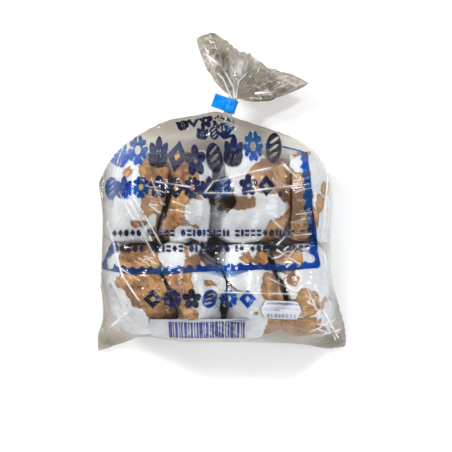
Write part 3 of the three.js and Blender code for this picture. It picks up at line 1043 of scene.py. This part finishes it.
for name, given in printRows.items():
    for inkName, ink in inks.items():
        inked, left = [], []
        for kind, x, y, height, turn, chosen in given["row"]:
            if chosen == inkName:
                outlines, holes = motifs[kind]()
                inked += placed(outlines, x, y, height, turn, given["widen"])
                left += placed(holes, x, y, height, turn, given["widen"])
        printOn(name + "_" + inkName, inked, left, ink)

# two thin lines of dashes and dots: height on the film, start and end
dashLines = ((-28.7, -79, 60), (-39.6, -82, 60))
draw = random.Random(11)
dashes = []
for y, fromX, toX in dashLines:
    x = fromX
    while x < toX:
        kind = draw.choice(("dash", "dot", "tick", "lozenge"))
        if kind == "dash":
            dashes += [box(3.2, 1.5, x + 1.6, y - 1.5), box(3.2, 1.5, x + 1.6, y + 1.5)]
            x += 4.3
        elif kind == "tick":
            dashes.append(box(1.6, 4.8, x + 0.8, y))
            x += 2.7
        else:
            dashes.append(oval(3.6, 5, x + 1.8, y, 0, 12 if kind == "dot" else 4))
            x += 4.6
        if draw.random() < 0.14:
            x += 3.2
printOn("print_dashes", dashes, [], inks["navy"])

# the frame: a band with round bites along its inner edge
border = {
    "path": [(44, 34.4), (59, 30.2), (59.2, 19.3), (60.6, 6), (61.3, -11), (64.5, -26.5), (66, -41),
             (67.7, -50.5), (46, -52.2), (20.7, -52.3), (-8.4, -53.2), (-37.4, -54.6), (-62.9, -55),
             (-85, -52.5), (-77.4, -36.7)],
    "half": (0.7, 3, 3.2, 3.2, 3.2, 3.2, 3, 2.8, 2.8, 2.8, 2.8, 2.8, 2.8, 2.4),
    "plain": 1.5,          # a part thinner than this has no bites
    "bite": 3.1,
    "biteOut": 1.4,        # how far a bite's middle lies off the band
    "step": 6.9,
    "inside": (-8, -10),   # a point on the side of the bites
}


def borderShapes():
    band, bites = [], []
    for index, (start, end) in enumerate(zip(border["path"], border["path"][1:])):
        half = border["half"][index]
        (x0, y0), (x1, y1) = start, end
        length = math.hypot(x1 - x0, y1 - y0)
        turn = math.atan2(y1 - y0, x1 - x0)
        band.append(box(length, 2 * half, (x0 + x1) / 2, (y0 + y1) / 2, turn))
        band.append(oval(2 * half, 2 * half, x1, y1, 0, 12))
        if half < border["plain"]:
            continue
        sideX, sideY = -math.sin(turn), math.cos(turn)
        towards = (border["inside"][0] - x0) * sideX + (border["inside"][1] - y0) * sideY
        sign = 1 if towards > 0 else -1
        count = max(round(length / border["step"]), 1)
        for k in range(count):
            t = (k + 0.5) / count
            x = x0 + t * (x1 - x0) + sign * sideX * (half + border["biteOut"])
            y = y0 + t * (y1 - y0) + sign * sideY * (half + border["biteOut"])
            bites.append(oval(2 * border["bite"], 2 * border["bite"], x, y, 0, 16))
    return band, bites


band, bites = borderShapes()
printOn("print_border", band, bites, inks["blue"])

# the white panel with its stripes: width and gap of each, over and over
panel = {"left": -51, "right": 20.7, "top": -90, "bottom": -105.6, "spacing": 1.2}
stripe = {"from": -38.0, "to": 16, "y": -98.6, "height": 12.6, "lift": 0.02,
          "widths": ((2.4, 0.5), (1.2, 0.5), (2.0, 0.8), (1.1, 0.4), (1.6, 0.6))}
panelOutline = [(panel["left"], panel["bottom"]), (panel["right"], panel["bottom"]),
                (panel["right"], panel["top"]), (panel["left"], panel["top"])]
layOnFilm("print_panel", [panelOutline], [], printLay["lift"], whiteInk, "bag", panel["spacing"])
stripes = []
x = stripe["from"]
while x < stripe["to"]:
    for width, gap in stripe["widths"]:
        stripes.append(box(width, stripe["height"], x + width / 2, stripe["y"]))
        x += width + gap
layOnFilm("print_stripes", stripes, [], stripe["lift"], stripeInk, "bag", panel["spacing"])
print("print ready")


# the price label with its pointed ends, and plain marks on it: height, start, end and thickness
label = {"x": 42.5, "y": -83.2, "width": 30, "height": 14, "point": 2.6, "turn": -3, "lift": 0.35,
         "thickness": 0.25, "marksLift": 0.75, "marksSlope": -0.035,
         "marks": ((-78.8, 32, 54, 1.0), (-82.0, 30.5, 54.5, 0.3),
                   (-83.5, 30.5, 42, 0.3), (-87.2, 32, 52, 2.7))}


def labelOutline():
    w, h, p = label["width"] / 2, label["height"] / 2, label["point"]
    corners = [(-w + p, -h), (w - p, -h), (w, 0), (w - p, h), (-w + p, h), (-w, 0)]
    return placed([corners], label["x"], label["y"], 1, label["turn"], 1)[0]


labelPiece = layOnFilm("price_label_paper", [labelOutline()], [], label["lift"], labelPaper,
                       "price_label", 1.0)
applyModifier(labelPiece, "SMOOTH", factor=0.5, iterations=3)
applyModifier(labelPiece, "SOLIDIFY", thickness=label["thickness"] * mm, offset=1)
bars = []
for y, start, end, height in label["marks"]:
    x = start
    while x < end:
        width = draw.choice((1.0, 1.6, 2.1)) if height > 1 else 5.7
        bars.append(box(width, height, x + width / 2, y + label["marksSlope"] * (x - 42)))
        x += width + (draw.choice((0.7, 0.9, 1.6)) if height > 1 else 0.1)
layOnFilm("price_label_marks", bars, [], label["marksLift"], greyInk, "price_label", 0.8)
print("label ready")


# the closing tape, from the solid's own form
tape = {"edge": 0.18, "edgeAngle": 50, "smoothAngle": 35}


def foldTape():
    piece = copySolid("closure_tape", "closing_tape")
    bpy.ops.object.mode_set(mode="EDIT")
    bpy.ops.mesh.normals_make_consistent(inside=False)
    bpy.ops.object.mode_set(mode="OBJECT")
    applyModifier(piece, "BEVEL", width=tape["edge"] * mm, segments=2, limit_method="ANGLE",
                  angle_limit=math.radians(tape["edgeAngle"]))
    makeActive(piece)
    bpy.ops.object.shade_smooth_by_angle(angle=math.radians(tape["smoothAngle"]))
    finishPiece(piece, "closure_tape", tapeMaterial)


foldTape()
print("tape ready")


# table, light and camera

# what the camera looks down on, how high it stands, and the width seen at the height of the pack's middle
view = {"centre": (3.3, -23.6), "height": 1.25, "width": 0.3286, "middle": 0.036}

deselectAll()
bpy.ops.mesh.primitive_plane_add(size=6, location=(0, 0, -0.0002))
table = bpy.context.object
table.name = "table"
tableMaterial, tree = newMaterial("paleTable")
solid = addNode(tree, "ShaderNodeBsdfPrincipled", {"Base Color": (0.92, 0.92, 0.92, 1), "Roughness": 0.8})
table.data.materials.append(finishMaterial(tableMaterial, solid))


# place, size, power and colour of each light
lights = {
    "keyLight": ((-0.85, 0.7, 0.95), 0.45, 21, (1, 0.985, 0.96)),
    "fillLight": ((1.1, -0.3, 0.8), 0.8, 11.5, (0.96, 0.98, 1)),
    "lowLight": ((-0.2, -1.1, 0.8), 0.6, 6.5, (1, 1, 1)),
    "glintLight": ((0.3, 0.6, 0.9), 0.1, 4, (1, 1, 1)),
}
for name, (place, size, power, color) in lights.items():
    deselectAll()
    bpy.ops.object.light_add(type="AREA", location=place)
    lamp = bpy.context.object
    lamp.name = name
    lamp.rotation_euler = (-Vector(place)).to_track_quat("-Z", "Y").to_euler()
    lamp.data.size = size
    lamp.data.energy = power
    lamp.data.color = color

world = bpy.data.worlds.new("softRoom")
world.use_nodes = True
world.node_tree.nodes["Background"].inputs["Color"].default_value = (0.95, 0.97, 1, 1)
world.node_tree.nodes["Background"].inputs["Strength"].default_value = 0.35
bpy.context.scene.world = world

deselectAll()
bpy.ops.object.camera_add(location=(view["centre"][0] * mm, view["centre"][1] * mm, view["height"]))
camera = bpy.context.object
camera.rotation_euler = (0, 0, 0)
camera.data.sensor_width = 36
camera.data.lens = 36 * (view["height"] - view["middle"]) / view["width"]
camera.data.clip_start = 0.05
camera.data.clip_end = 20
bpy.context.scene.camera = camera
bpy.context.scene.view_settings.view_transform = "Standard"
print("light and camera ready")
